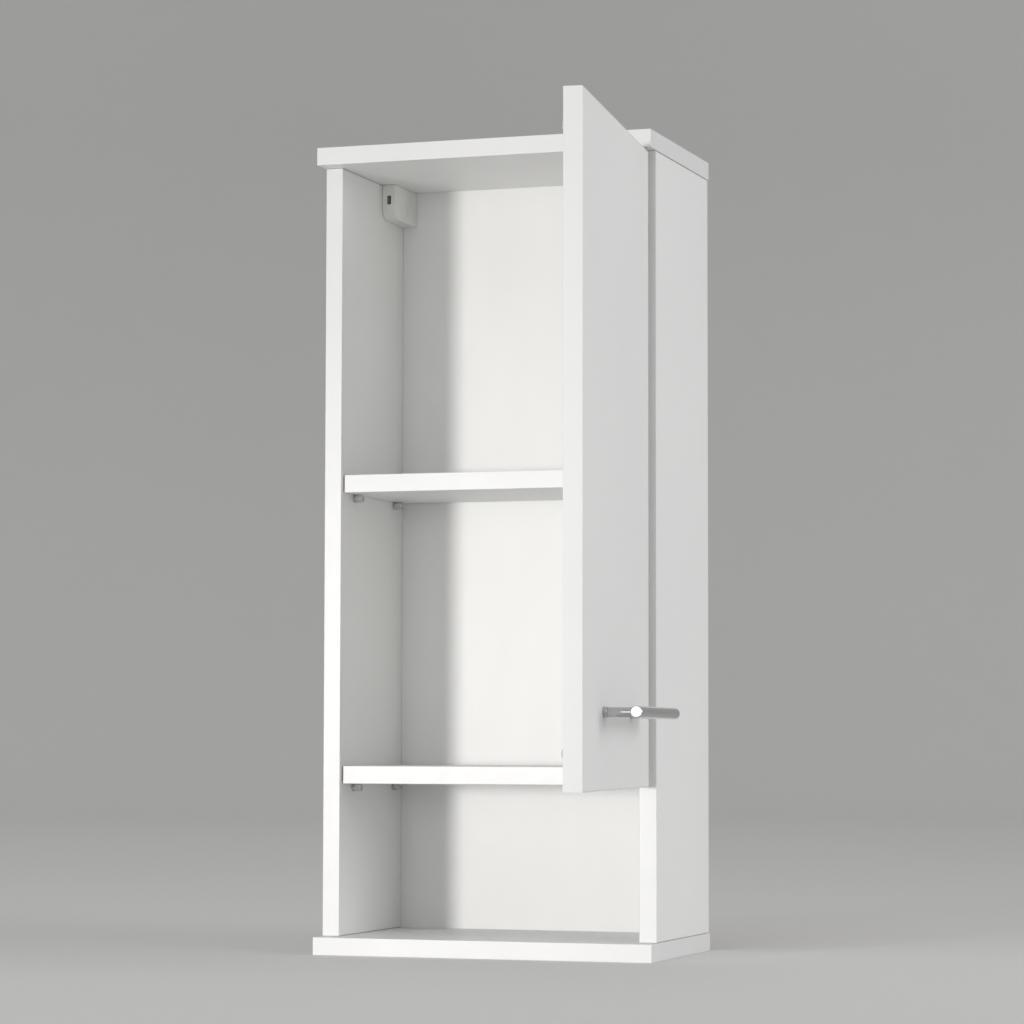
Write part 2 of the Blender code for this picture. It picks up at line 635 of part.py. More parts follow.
def make_hanger_hook(side_name, centre_x, level, rear, housing, back_panel):
    """A steel strip out of the housing's back, with a tooth that drops behind a wall rail."""
    half = HOOK_THICKNESS / 2
    low = (centre_x - half, rear - HOOK_IN_HOUSING, level - HOOK_HEIGHT / 2)
    tip_y = -HOOK_THICKNESS
    high = (centre_x + half, tip_y, level + HOOK_HEIGHT / 2)
    hook = box(f"hanger_hook_{side_name}", low, high, zinc())
    tooth_low = (centre_x - half, tip_y - HOOK_THICKNESS, level - HOOK_HEIGHT / 2 - HOOK_TIP_RISE)
    boolean(hook, box(f"hanger_hook_{side_name}_tooth", tooth_low, high), "UNION")
    loose = HOOK_THICKNESS
    pocket_low = (low[0] - GAP, low[1] - GAP, low[2] - GAP)
    pocket_high = (high[0] + GAP, rear + loose, high[2] + GAP)
    boolean(housing, box(f"hanger_{side_name}_pocket", pocket_low, pocket_high))
    window_low = (low[0] - loose, rear - loose, tooth_low[2] - loose)
    window_high = (high[0] + loose, BACK_FACE + 2 * BACK_THICKNESS, high[2] + loose)
    boolean(back_panel, box(f"hanger_{side_name}_window", window_low, window_high))


def main():
    start_scene()
    groove = GROOVE_DEPTH + GAP
    top_panel = make_end_panel("top_panel", CEILING_LEVEL, CEILING_LEVEL - BOARD, CEILING_LEVEL + groove)
    bottom_panel = make_end_panel("bottom_panel", UNDERSIDE, FLOOR_LEVEL - groove, FLOOR_LEVEL + BOARD)
    left = make_side_panel("left_side_panel", -1)
    right = make_side_panel("right_side_panel", 1)
    sides = {"left": (-1, left), "right": (1, right)}
    back_panel = make_back_panel()
    for level_name, underside in (("lower", LOWER_SHELF), ("upper", UPPER_SHELF)):
        make_shelf(f"{level_name}_shelf", underside)
        make_shelf_pins(level_name, underside, sides)
    make_assembly_screws(top_panel, bottom_panel, sides)
    for side_name, (sign, _) in sides.items():
        make_hanger(side_name, sign, back_panel)
    pivot = make_door_pivot()
    door = make_door_panel(pivot)
    make_handle(pivot, door)
    make_door_bumpers(pivot)
    for name, level in HINGE_LEVELS.items():
        make_hinge(name, level, pivot, door, right)


main()
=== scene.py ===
"""Looks for the wall-hung bathroom cabinet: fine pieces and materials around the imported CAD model.

Everything is in metres, in the CAD's own frame: X right, Y back into the wall, Z up.
What rides on the door is modelled as on the closed door, then turned open with it.
"""

import math

import bmesh
import bpy
from mathutils import Matrix, Vector
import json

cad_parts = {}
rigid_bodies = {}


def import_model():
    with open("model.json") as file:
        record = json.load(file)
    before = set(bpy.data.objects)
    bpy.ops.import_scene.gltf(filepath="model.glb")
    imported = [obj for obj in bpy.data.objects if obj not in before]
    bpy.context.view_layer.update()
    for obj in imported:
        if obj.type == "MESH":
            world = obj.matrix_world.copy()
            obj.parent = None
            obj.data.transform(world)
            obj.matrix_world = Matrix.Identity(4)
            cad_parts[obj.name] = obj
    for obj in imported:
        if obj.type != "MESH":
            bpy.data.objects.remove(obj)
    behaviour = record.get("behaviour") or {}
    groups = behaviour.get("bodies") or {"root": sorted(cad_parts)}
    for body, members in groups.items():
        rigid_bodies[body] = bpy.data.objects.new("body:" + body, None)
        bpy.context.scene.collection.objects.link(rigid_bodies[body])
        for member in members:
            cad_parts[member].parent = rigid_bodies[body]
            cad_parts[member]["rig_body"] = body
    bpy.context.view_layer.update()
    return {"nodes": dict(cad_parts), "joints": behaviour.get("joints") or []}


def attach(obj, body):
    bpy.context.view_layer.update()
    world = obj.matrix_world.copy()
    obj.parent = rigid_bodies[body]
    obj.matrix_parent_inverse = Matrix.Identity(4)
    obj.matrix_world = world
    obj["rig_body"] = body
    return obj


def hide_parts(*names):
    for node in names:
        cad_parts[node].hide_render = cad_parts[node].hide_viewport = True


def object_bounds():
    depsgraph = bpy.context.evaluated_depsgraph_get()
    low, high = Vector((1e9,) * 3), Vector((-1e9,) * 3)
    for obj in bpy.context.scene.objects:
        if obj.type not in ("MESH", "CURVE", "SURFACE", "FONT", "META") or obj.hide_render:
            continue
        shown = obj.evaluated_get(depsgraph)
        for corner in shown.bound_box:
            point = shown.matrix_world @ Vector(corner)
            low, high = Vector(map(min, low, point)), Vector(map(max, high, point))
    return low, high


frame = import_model()

# Boards
BAND = 0.0010  # thickness of the edge band
BAND_ROUND = 0.0006  # on the band's outer edges
GLUE_LINE = 0.00012  # the fine notch between a band and its board
EASED_EDGE = 0.0006  # the depth over which a face still counts as faced, at its eased edges
ROUND_STEPS = 4

FACED_SLOPE = 0.3  # how far a face must look along the board's thickness to count as faced

# Round pieces, in sides
FINE = 64
SMALL = 32

# Tools that cut a piece
OVERSHOOT = 0.001
WIDE_OVERSHOOT = 0.01

# Materials: the range that a noise mostly stays in
NOISE_LOW = 0.3
NOISE_HIGH = 0.7

# Handle
BAR_END_ROUND = 0.0007
BAR_RINGS = 24
COLLAR_HEIGHT = 0.0032
COLLAR_GROOVE = 0.0007
COLLAR_PROUD = 0.0004
COLLAR_ROUND = 0.0002
SHAFT_ROUND = 0.00015
SADDLE_GAP = 0.00005
SADDLE_REACH = 1.0  # each way from the bar's middle, well past both posts

# Screws
THREAD_PITCH = 0.0014
THREAD_DEPTH = 0.0004
THREAD_CREST = 0.50, 0.62  # where a ridge's crest starts and ends, in pitches
POINT_LENGTH = 1.8  # in shank radii
RECESS_SHARE = 0.55  # of a screw head's radius, reached by its recess
WING_SHARE = 0.28  # of a cross recess's reach, the half width of its wings
HANDLE_SCREW_HEAD = 0.0025
HANDLE_SCREW_RADIUS = 0.0020
PLATE_SCREW_HEAD = 0.0019
PLATE_SCREW_RADIUS = 0.0019
HANGER_SCREW_HEAD = 0.0012
HANGER_SCREW_RADIUS = 0.0012

# Hinge cups
BOWL_RADIUS = 0.0175
BOWL_FLOOR_ROUND = 0.003
CUP_WALL = 0.0014
CUP_RIM = 0.0006
FLANGE = 0.0010
FLANGE_WIDTH = 0.022
FLANGE_CORNER = 0.006
FLANGE_INBOARD = 0.0055  # from the bowl's axis
SEAT_PLAY = 0.0003
CORNER_STEPS = 8

# Hinge plates, arms, links and pins
STAMPED_ROUND = 0.0004
ARM_ROUND = 0.00035
LINK_ROUND = 0.00025
PIN_RIVET_SHARE = 0.35  # of a pin's radius, turned over at its ends
WING_THICKNESS = 0.003
WING_WIDTH = 0.018
WING_CORNER = 0.0075
RIDGE_HALF_WIDTH = 0.005
RIDGE_ROUND = 0.0010
PLATE_HOLE_RADIUS = 0.0022
ARM_RECESS_DEPTH = 0.00054
ARM_RECESS_HALF_WIDTH = 0.0045
ARM_RECESS_FROM_NOSE = 0.014
ARM_RECESS_FROM_REAR = 0.006
ADJUSTER_RADIUS = 0.0029
ADJUSTER_ROUND = 0.0003
ADJUSTER_HEIGHT = 0.0014
ADJUSTER_RECESS = 0.0009
ADJUSTER_SUNK = 0.0001
ADJUSTER_FROM_NOSE = 0.022
ADJUSTER_FROM_REAR = 0.016

# Shelf pins
PEG_RADIUS = 0.0025
PEG_LENGTH = 0.0093
PIN_EDGE = 0.0002
PIN_GROOVE = (0.0016, 0.0020, 0.0026, 0.0030)  # from the head's root: down, bottom, bottom, up
PIN_END_ROUND = 0.0009
PIN_DISH = 0.0007

# Hangers
RIB_PLACES = (0.52, 0.64, 0.76)  # shares of the housing's depth
RIB_WIDTH = 0.0022
RIB_DEPTH = 0.0005
RIB_MARGIN = 0.006
HOUSING_ROUND = 0.0005
HOOK_ROUND = 0.0003

# Studio
KEY_WHITE = (1.0, 0.985, 0.965)
SKY_WHITE = (0.985, 0.99, 1.0)
SKY_STRENGTH = 0.58
FLOOR_GREY = (0.74, 0.735, 0.72)
COVE_CORE = 1.5
COVE_FLAT = 5.0
COVE_BEND = 2.0
COVE_WALL = 2.0
COVE_SIDES = 96
COVE_STEPS = 20
CABINET_CENTRE = (0.0, -0.10, 0.36)
KEY_TARGET = (0.0, -0.10, 0.30)

# Camera: millimetres for the lens, degrees for the turns
LENS = 119.19
CAMERA_PLACE = (0.9928, -3.0032, 0.1856)
CAMERA_HEADING = 18.888
CAMERA_PITCH = 3.806
CAMERA_ROLL = 0.105

BODY_OF = {name: obj["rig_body"] for name, obj in frame["nodes"].items()}
SIDES = {"left": -1, "right": 1}
LEVELS = ("lower", "upper")
ENDS = ("bottom", "top")
PLACES = ("front", "rear")


def joint(name):
    return next(found for found in frame["joints"] if found["name"] == name)


def open_door():
    """The turn that takes the closed door to the open place it rests in."""
    swing = joint("door_swing")
    pivot = Matrix.Translation(swing["pos_m"])
    closing = Matrix.Rotation(math.radians(swing["range_deg"][1]), 4, Vector(swing["axis"]))
    return pivot @ closing.inverted() @ pivot.inverted()


REST = {"door": open_door()}


def rest_of(body):
    return REST.get(body, Matrix.Identity(4))


def box_of(node):
    """A node's lowest and highest corners; for what is on the door, as on the closed door."""
    back = rest_of(BODY_OF[node]).inverted()
    places = [back @ vertex.co for vertex in frame["nodes"][node].data.vertices]
    low = Vector([min(place[axis] for place in places) for axis in range(3)])
    high = Vector([max(place[axis] for place in places) for axis in range(3)])
    return low, high


def middle_of(node):
    low, high = box_of(node)
    return (low + high) / 2


# ---------------------------------------------------------------- materials


class Look:
    """A material while it is built: the nodes added so far, and the shader that they feed."""

    def __init__(self, name, roughness, metallic=0.0):
        self.material = bpy.data.materials.new(name)
        self.material.use_nodes = True
        self.tree = self.material.node_tree
        self.shader = self.tree.nodes["Principled BSDF"]
        self.set("Roughness", roughness)
        self.set("Metallic", metallic)
        self.place = self.add("ShaderNodeTexCoord").outputs["Object"]

    def add(self, kind, **values):
        node = self.tree.nodes.new(kind)
        for key, value in values.items():
            setattr(node, key, value)
        return node

    def join(self, source, socket):
        self.tree.links.new(source, socket)

    def set(self, socket, value):
        self.shader.inputs[socket].default_value = value

    def feed(self, socket, source):
        self.join(source, self.shader.inputs[socket])

    def stretched(self, scale, turn=(0, 0, 0)):
        """The place on the piece, scaled along each axis."""
        mapping = self.add("ShaderNodeMapping")
        mapping.inputs["Scale"].default_value = scale
        mapping.inputs["Rotation"].default_value = turn
        self.join(self.place, mapping.inputs["Vector"])
        return mapping.outputs["Vector"]

    def noise(self, scale, detail=3.0, roughness=0.5, at=None, distortion=0.0):
        node = self.add("ShaderNodeTexNoise")
        node.inputs["Scale"].default_value = scale
        node.inputs["Detail"].default_value = detail
        node.inputs["Roughness"].default_value = roughness
        node.inputs["Distortion"].default_value = distortion
        self.join(at or self.place, node.inputs["Vector"])
        return node.outputs["Fac"]

    def cells(self, scale, at=None, output="Color"):
        node = self.add("ShaderNodeTexVoronoi")
        node.inputs["Scale"].default_value = scale
        self.join(at or self.place, node.inputs["Vector"])
        return node.outputs[output]

    def ramp(self, source, *stops):
        """Colours along a value, each stop a (position, colour) pair."""
        node = self.add("ShaderNodeValToRGB")
        elements = node.color_ramp.elements
        while len(elements) < len(stops):
            elements.new(0.5)
        for element, (position, color) in zip(elements, stops):
            element.position = position
            element.color = (*color, 1.0)
        self.join(source, node.inputs["Fac"])
        return node.outputs["Color"]

    def span(self, source, low, high):
        """A noise value, taken from its usual range to the given one."""
        node = self.add("ShaderNodeMapRange")
        node.inputs["From Min"].default_value = NOISE_LOW
        node.inputs["From Max"].default_value = NOISE_HIGH
        node.inputs["To Min"].default_value = low
        node.inputs["To Max"].default_value = high
        self.join(source, node.inputs["Value"])
        return node.outputs["Result"]

    def combine(self, operation, first, second):
        node = self.add("ShaderNodeMath", operation=operation)
        for socket, value in zip(node.inputs, (first, second)):
            if isinstance(value, (int, float)):
                socket.default_value = value
            else:
                self.join(value, socket)
        return node.outputs["Value"]

    def mixed(self, share, first, second, blend="MIX"):
        node = self.add("ShaderNodeMix", data_type="RGBA", blend_type=blend)
        self.fill(node.inputs["Factor"], share)
        self.fill(node.inputs["A"], first)
        self.fill(node.inputs["B"], second)
        return node.outputs["Result"]

    def fill(self, socket, value):
        if hasattr(value, "is_linked"):
            self.join(value, socket)
        elif isinstance(value, tuple):
            socket.default_value = (*value, 1.0)
        else:
            socket.default_value = value

    def bump(self, height, depth, strength=1.0):
        node = self.add("ShaderNodeBump")
        node.inputs["Distance"].default_value = depth
        node.inputs["Strength"].default_value = strength
        self.join(height, node.inputs["Height"])
        self.feed("Normal", node.outputs["Normal"])


def white_melamine():
    """The satin white face of the boards: fine pearl grain, with the faintest cloudiness."""
    look = Look("white_melamine", 0.42)
    cloud = look.noise(5.0, 2.0)
    pearl = look.noise(1400.0, 2.0, 0.6)
    tone = look.ramp(cloud, (0.30, (0.835, 0.838, 0.832)), (0.70, (0.862, 0.862, 0.855)))
    speck = look.ramp(pearl, (0.35, (0.975, 0.975, 0.975)), (0.65, (1.0, 1.0, 1.0)))
    look.feed("Base Color", look.mixed(1.0, tone, speck, "MULTIPLY"))
    wipe = look.noise(1.0, 4.0, 0.6, look.stretched((9.0, 9.0, 2.5), (0.2, 0.3, 0.5)))
    grain = look.span(pearl, -0.03, 0.03)
    look.feed("Roughness", look.combine("ADD", look.span(wipe, 0.46, 0.50), grain))
    peel = look.combine("MULTIPLY", look.noise(330.0, 1.0), 0.7)
    fine = look.combine("MULTIPLY", pearl, 0.5)
    look.bump(look.combine("ADD", peel, fine), 0.00004)
    return look.material


def white_edge_band():
    """The plastic band on the boards' edges: a touch whiter and glossier, drawn along its length."""
    look = Look("white_edge_band", 0.34)
    cloud = look.noise(14.0, 2.0)
    look.feed("Base Color", look.ramp(cloud, (0.3, (0.765, 0.767, 0.764)), (0.7, (0.785, 0.786, 0.782))))
    peel = look.noise(420.0, 1.0)
    look.feed("Roughness", look.span(look.noise(60.0, 3.0), 0.36, 0.385))
    look.bump(peel, 0.00002)
    return look.material


def raw_chipboard():
    """The board's cut core: pressed wood chips with dark gaps and pale glue."""
    look = Look("raw_chipboard", 0.85)
    warped = look.mixed(0.35, look.place, look.noise(160.0, 2.0))
    chips = look.cells(430.0, look.stretched((1.0, 1.0, 1.7)))
    slivers = look.cells(900.0, look.stretched((0.6, 0.6, 1.8)), output="Distance")
    wood = look.ramp(
        chips,
        (0.10, (0.36, 0.255, 0.155)),
        (0.35, (0.52, 0.395, 0.25)),
        (0.60, (0.62, 0.49, 0.335)),
        (0.90, (0.71, 0.60, 0.45)),
    )
    gaps = look.ramp(slivers, (0.05, (0.45, 0.36, 0.27)), (0.38, (1.0, 1.0, 1.0)))
    dust = look.ramp(look.noise(1.0, 3.0, 0.6, warped), (0.3, (0.9, 0.9, 0.9)), (0.7, (1.05, 1.04, 1.02)))
    look.feed("Base Color", look.mixed(1.0, look.mixed(0.75, wood, gaps, "MULTIPLY"), dust, "MULTIPLY"))
    look.feed("Roughness", look.span(slivers, 0.92, 0.75))
    look.bump(slivers, 0.00025, 0.8)
    return look.material


def white_back_face():
    """The lacquered front of the thin back panel: smoother than the boards, faintly rippled."""
    look = Look("white_lacquered_hardboard", 0.40)
    ripple = look.noise(1.0, 2.0, 0.5, look.stretched((30.0, 30.0, 8.0)))
    look.feed("Base Color", look.ramp(ripple, (0.3, (0.848, 0.85, 0.845)), (0.7, (0.868, 0.868, 0.862))))
    look.feed("Roughness", look.span(look.noise(240.0, 3.0), 0.43, 0.47))
    look.bump(look.noise(900.0, 2.0), 0.00001)
    return look.material


def brown_hardboard():
    """The back panel's raw rear face: brown pressed fibre with flecks."""
    look = Look("brown_hardboard", 0.72)
    felt = look.noise(95.0, 5.0, 0.65, distortion=0.8)
    fibre = look.noise(1.0, 4.0, 0.7, look.stretched((900.0, 300.0, 260.0), (0, 0.35, 0)), 0.6)
    tone = look.ramp(
        felt,
        (0.25, (0.26, 0.155, 0.082)),
        (0.55, (0.37, 0.235, 0.13)),
        (0.80, (0.45, 0.305, 0.18)),
    )
    fleck = look.ramp(fibre, (0.28, (0.62, 0.58, 0.52)), (0.50, (1.0, 1.0, 1.0)), (0.74, (1.16, 1.12, 1.04)))
    look.feed("Base Color", look.mixed(0.8, tone, fleck, "MULTIPLY"))
    look.feed("Roughness", look.span(fibre, 0.62, 0.80))
    look.bump(fibre, 0.00008)
    return look.material


def polished_chrome():
    """Bright chrome plate with a hazy polish that runs round the bar."""
    look = Look("polished_chrome", 0.1, 1.0)
    rings = look.noise(1.0, 2.0, 0.5, look.stretched((60.0, 60.0, 2600.0)))
    haze = look.noise(210.0, 3.0)
    look.feed("Base Color", look.ramp(haze, (0.3, (0.46, 0.462, 0.47)), (0.7, (0.52, 0.521, 0.526))))
    look.feed("Roughness", look.combine("ADD", look.span(haze, 0.07, 0.12), look.span(rings, 0.0, 0.05)))
    look.bump(rings, 0.000004)
    return look.material


def nickel_plate():
    """Nickel-plated pressed steel: dull, warm, with a fine rolled grain and darker pores."""
    look = Look("nickel_plated_steel", 0.3, 1.0)
    rolled = look.noise(1.0, 3.0, 0.6, look.stretched((900.0, 900.0, 140.0)))
    pores = look.noise(1500.0, 1.0)
    patch = look.noise(70.0, 3.0)
    tone = look.ramp(patch, (0.30, (0.56, 0.55, 0.525)), (0.70, (0.66, 0.655, 0.64)))
    pitted = look.ramp(pores, (0.24, (0.75, 0.74, 0.72)), (0.36, (1.0, 1.0, 1.0)))
    look.feed("Base Color", look.mixed(1.0, tone, pitted, "MULTIPLY"))
    look.feed("Roughness", look.combine("ADD", look.span(rolled, 0.22, 0.34), look.span(patch, 0.0, 0.06)))
    look.bump(look.combine("ADD", rolled, look.combine("MULTIPLY", pores, 0.4)), 0.00001)
    return look.material


def moulded_white():
    """Moulded white plastic: fine spark-eroded grain and a soft, slightly yellow body."""
    look = Look("moulded_white_plastic", 0.4)
    grain = look.noise(1900.0, 2.0)
    flow = look.noise(38.0, 2.0)
    look.feed("Base Color", look.ramp(flow, (0.3, (0.80, 0.805, 0.78)), (0.7, (0.84, 0.84, 0.82))))
    look.feed("Roughness", look.span(grain, 0.34, 0.46))
    look.set("Subsurface Weight", 0.12)
    look.set("Subsurface Radius", (0.001, 0.0009, 0.0007))
    look.bump(grain, 0.000012)
    return look.material


def clear_grey():
    """Translucent grey plastic with a hazy surface and small flow marks."""
    look = Look("clear_grey_plastic", 0.22)
    flow = look.noise(190.0, 3.0, 0.6, distortion=0.6)
    look.feed("Base Color", look.ramp(flow, (0.3, (0.82, 0.835, 0.835)), (0.7, (0.92, 0.925, 0.925))))
    look.feed("Roughness", look.span(flow, 0.16, 0.30))
    look.set("Transmission Weight", 0.6)
    look.set("IOR", 1.49)
    look.bump(look.noise(900.0, 2.0), 0.00001)
    return look.material


def studio_floor():
    """The pale matt floor and cove."""
    look = Look("studio_floor", 0.85)
    wash = look.noise(0.9, 4.0, 0.6)
    tooth = look.noise(260.0, 2.0)
    dark = tuple(value * 0.985 for value in FLOOR_GREY)
    look.feed("Base Color", look.ramp(wash, (0.3, dark), (0.7, FLOOR_GREY)))
    look.feed("Roughness", look.span(tooth, 0.8, 0.9))
    look.bump(tooth, 0.00008)
    return look.material


FACE = white_melamine()
EDGE = white_edge_band()
CORE = raw_chipboard()
BACK_WHITE = white_back_face()
BACK_BROWN = brown_hardboard()
CHROME = polished_chrome()
NICKEL = nickel_plate()
PLASTIC = moulded_white()
CLEAR = clear_grey()


# ---------------------------------------------------------------- mesh helpers


def new_object(name, bm, smooth=30):
    """An object from a finished bmesh, its faces turned outward, sharp over the given angle."""
    bmesh.ops.recalc_face_normals(bm, faces=bm.faces)
    mesh = bpy.data.meshes.new(name)
    bm.to_mesh(mesh)
    bm.free()
    mesh.shade_smooth()
    mesh.set_sharp_from_angle(angle=math.radians(smooth))
    obj = bpy.data.objects.new(name, mesh)
    bpy.context.scene.collection.objects.link(obj)
    return obj


def baked(obj, smooth=30):
    """Leaves the object with the mesh that its modifiers give, and no modifiers."""
    graph = bpy.context.evaluated_depsgraph_get()
    graph.update()
    mesh = bpy.data.meshes.new_from_object(obj.evaluated_get(graph))
    obj.modifiers.clear()
    obj.data = mesh
    mesh.shade_smooth()
    mesh.set_sharp_from_angle(angle=math.radians(smooth))
    return obj


def cut(obj, tool, operation="DIFFERENCE"):
    """Applies a Boolean and removes its tool."""
    change = obj.modifiers.new("cut", "BOOLEAN")
    change.operation = operation
    change.object = tool
    change.solver = "EXACT"
    baked(obj)
    bpy.data.objects.remove(tool)
    return obj


def rounded(obj, width, segments=3, angle=40):
    """Rounds the edges over the given angle."""
    change = obj.modifiers.new("round", "BEVEL")
    change.width = width
    change.segments = segments
    change.limit_method = "ANGLE"
    change.angle_limit = math.radians(angle)
    return baked(obj, 40)


def block(name, low, high):
    bm = bmesh.new()
    bmesh.ops.create_cube(bm, size=1.0)
    low = Vector(low)
    high = Vector(high)
    bmesh.ops.scale(bm, vec=high - low, verts=bm.verts)
    bmesh.ops.translate(bm, vec=(low + high) / 2, verts=bm.verts)
    return new_object(name, bm)


def prism(name, outline, start, along, up, length):
    """An outline of (across, up) points drawn out along a direction from its start."""
    along = Vector(along).normalized()
    up = Vector(up).normalized()
    across = up.cross(along)
    bm = bmesh.new()
    rings = []
    for reach in (0.0, length):
        base = Vector(start) + along * reach
        rings.append([bm.verts.new(base + across * a + up * b) for a, b in outline])
    bm.faces.new(rings[0])
    bm.faces.new(list(reversed(rings[1])))
    for i in range(len(outline)):
        after = (i + 1) % len(outline)
        bm.faces.new((rings[0][i], rings[0][after], rings[1][after], rings[1][i]))
    return new_object(name, bm)


def lathe(name, profile, start=(0, 0, 0), direction=(0, 0, 1), sides=FINE, smooth=30):
    """A solid turned about a line. The profile's (along, radius) points start and end on the line."""
    bm = bmesh.new()
    rings = []
    for along, radius in profile:
        if radius <= 0:
            rings.append([bm.verts.new((0, 0, along))])
            continue
        turns = [math.tau * i / sides for i in range(sides)]
        rings.append([bm.verts.new((radius * math.cos(t), radius * math.sin(t), along)) for t in turns])
    for lower, upper in zip(rings, rings[1:]):
        for i in range(sides):
            after = (i + 1) % sides
            below = [lower[i % len(lower)], lower[after % len(lower)]]
            above = [upper[after % len(upper)], upper[i % len(upper)]]
            bm.faces.new(list(dict.fromkeys(below + above)))
    obj = new_object(name, bm, smooth)
    turn = Vector(direction).to_track_quat("Z", "Y").to_matrix().to_4x4()
    obj.matrix_world = Matrix.Translation(start) @ turn
    return obj


def fillet(centre, radius, start_deg, end_deg, steps=ROUND_STEPS):
    """Points along an arc, both ends included."""
    turns = [math.radians(start_deg + (end_deg - start_deg) * i / steps) for i in range(steps + 1)]
    return [(centre[0] + radius * math.cos(t), centre[1] + radius * math.sin(t)) for t in turns]


def rounded_rectangle(width, height, radius, steps=ROUND_STEPS):
    half_w = width / 2 - radius
    half_h = height / 2 - radius
    corners = ((half_w, half_h, 0), (-half_w, half_h, 90), (-half_w, -half_h, 180), (half_w, -half_h, 270))
    points = []
    for x, y, start in corners:
        points += fillet((x, y), radius, start, start + 90, steps)
    return points


def flattened(obj):
    """Weights the shading by face area, so that flat faces look flat right up to their rounded edges."""
    change = obj.modifiers.new("weighted", "WEIGHTED_NORMAL")
    change.keep_sharp = True
    graph = bpy.context.evaluated_depsgraph_get()
    graph.update()
    mesh = bpy.data.meshes.new_from_object(obj.evaluated_get(graph))
    obj.modifiers.clear()
    obj.data = mesh


def present(obj, finish, body, *nodes):
    """Finishes a piece that stands for CAD nodes: its material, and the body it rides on."""
    flattened(obj)
    obj.data.materials.clear()
    for material in finish if isinstance(finish, tuple) else (finish,):
        obj.data.materials.append(material)
    obj.matrix_world = rest_of(body) @ obj.matrix_world
    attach(obj, body)
    return obj


def stand_in(obj, finish, *nodes):
    """A piece that replaces CAD nodes."""
    present(obj, finish, BODY_OF[nodes[0]], *nodes)
    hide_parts(*nodes)
    return obj


def solid_of(node, name):
    """The CAD node's own solid as a new piece, closed up for Booleans."""
    back = rest_of(BODY_OF[node]).inverted()
    source = frame["nodes"][node].data
    bm = bmesh.new()
    verts = [bm.verts.new(back @ vertex.co) for vertex in source.vertices]
    for face in source.polygons:
        bm.faces.new([verts[i] for i in face.vertices])
    bmesh.ops.remove_doubles(bm, verts=bm.verts, dist=1e-6)
    return new_object(name, bm)


# ---------------------------------------------------------------- boards


def band_strip(bm, low, high, axis, sign, along):
    """Adds one edge band to a bmesh: a strip with rounded outer edges and a fine inner notch."""
    wide = 3 - axis - along
    depth = high[axis] - low[axis]
    half = (high[wide] - low[wide]) / 2
    outline = [
        (0.0, -half + GLUE_LINE),
        (GLUE_LINE, -half),
        *fillet((depth - BAND_ROUND, -half + BAND_ROUND), BAND_ROUND, -90, 0),
        *fillet((depth - BAND_ROUND, half - BAND_ROUND), BAND_ROUND, 0, 90),
        (GLUE_LINE, half),
        (0.0, half - GLUE_LINE),
    ]
    inner = low[axis] if sign > 0 else high[axis]
    middle = (high[wide] + low[wide]) / 2
    rings = []
    for reach in (low[along], high[along]):
        ring = []
        for out, across in outline:
            place = [0.0, 0.0, 0.0]
            place[axis] = inner + sign * out
            place[wide] = middle + across
            place[along] = reach
            ring.append(bm.verts.new(place))
        rings.append(ring)
    for ring in rings:
        bm.faces.new(ring)
    for i in range(len(outline)):
        after = (i + 1) % len(outline)
        bm.faces.new((rings[0][i], rings[0][after], rings[1][after], rings[1][i]))


def make_bands(node, edges, thin):
    """The bands round one board. Each edge is (axis, sign); the first ones run full length."""
    low, high = box_of(node)
    bm = bmesh.new()
    for order, (axis, sign) in enumerate(edges):
        along = 3 - axis - thin
        start = list(low)
        end = list(high)
        if sign > 0:
            start[axis] = high[axis] - BAND
        else:
            end[axis] = low[axis] + BAND
        for other_axis, other_sign in edges[:order]:
            if other_axis == along and other_sign > 0:
                end[along] = high[along] - BAND
            elif other_axis == along:
                start[along] = low[along] + BAND
        band_strip(bm, start, end, axis, sign, along)
    bands = new_object(node + "_edge_band", bm, 35)
    return present(bands, EDGE, BODY_OF[node], node)


def make_board(node, thin, edges, shown=(-1, 1), finish=(FACE, CORE)):
    """A faced chipboard: the CAD solid less its bands, with raw core wherever it was cut."""
    low, high = box_of(node)
    inner_low = [value - WIDE_OVERSHOOT for value in low]
    inner_high = [value + WIDE_OVERSHOOT for value in high]
    for axis, sign in edges:
        if sign > 0:
            inner_high[axis] = high[axis] - BAND
        else:
            inner_low[axis] = low[axis] + BAND
    board = solid_of(node, node + "_board")
    if edges:
        cut(board, block("keep", inner_low, inner_high), "INTERSECT")
        make_bands(node, edges, thin)
    board.data.shade_flat()
    stand_in(board, finish, node)
    for face in board.data.polygons:
        out = face.normal[thin]
        reach = high[thin] if out > 0 else low[thin]
        is_face = abs(out) > FACED_SLOPE and abs(face.center[thin] - reach) < EASED_EDGE
        face.material_index = 0 if is_face and round(out) in shown else 1
    return board


def make_boards():
    x, y, z = range(3)
    for panel in ("top_panel", "bottom_panel"):
        make_board(panel, z, [(y, -1), (x, -1), (x, 1)])
    for side in SIDES:
        make_board(side + "_side_panel", x, [(y, -1)])
    for level in LEVELS:
        make_board(level + "_shelf", z, [(y, -1)])
    make_board("door_panel", y, [(z, -1), (z, 1), (x, -1), (x, 1)])
    make_board("back_panel", y, [], (-1,), (BACK_WHITE, BACK_BROWN))


# ---------------------------------------------------------------- screws


def thread(start, end, radius):
    """A shank's profile with thread ridges, from one distance to another."""
    points = []
    turns = int((end - start) / THREAD_PITCH)
    for i in range(turns):
        base = start + i * THREAD_PITCH
        points.append((base, radius - THREAD_DEPTH))
        points += [(base + THREAD_PITCH * crest, radius) for crest in THREAD_CREST]
    return points


def cross_recess(screw, radius, depth):
    """Cuts a cross-shaped driver recess into the head, which starts at the piece's origin."""
    reach = radius * RECESS_SHARE
    wing = reach * WING_SHARE
    for turn in (0, math.pi / 2):
        tool = block("wing", (-reach, -wing, -depth), (reach, wing, depth))
        tool.matrix_world = screw.matrix_world @ Matrix.Rotation(turn, 4, "Z")
        cut(screw, tool)


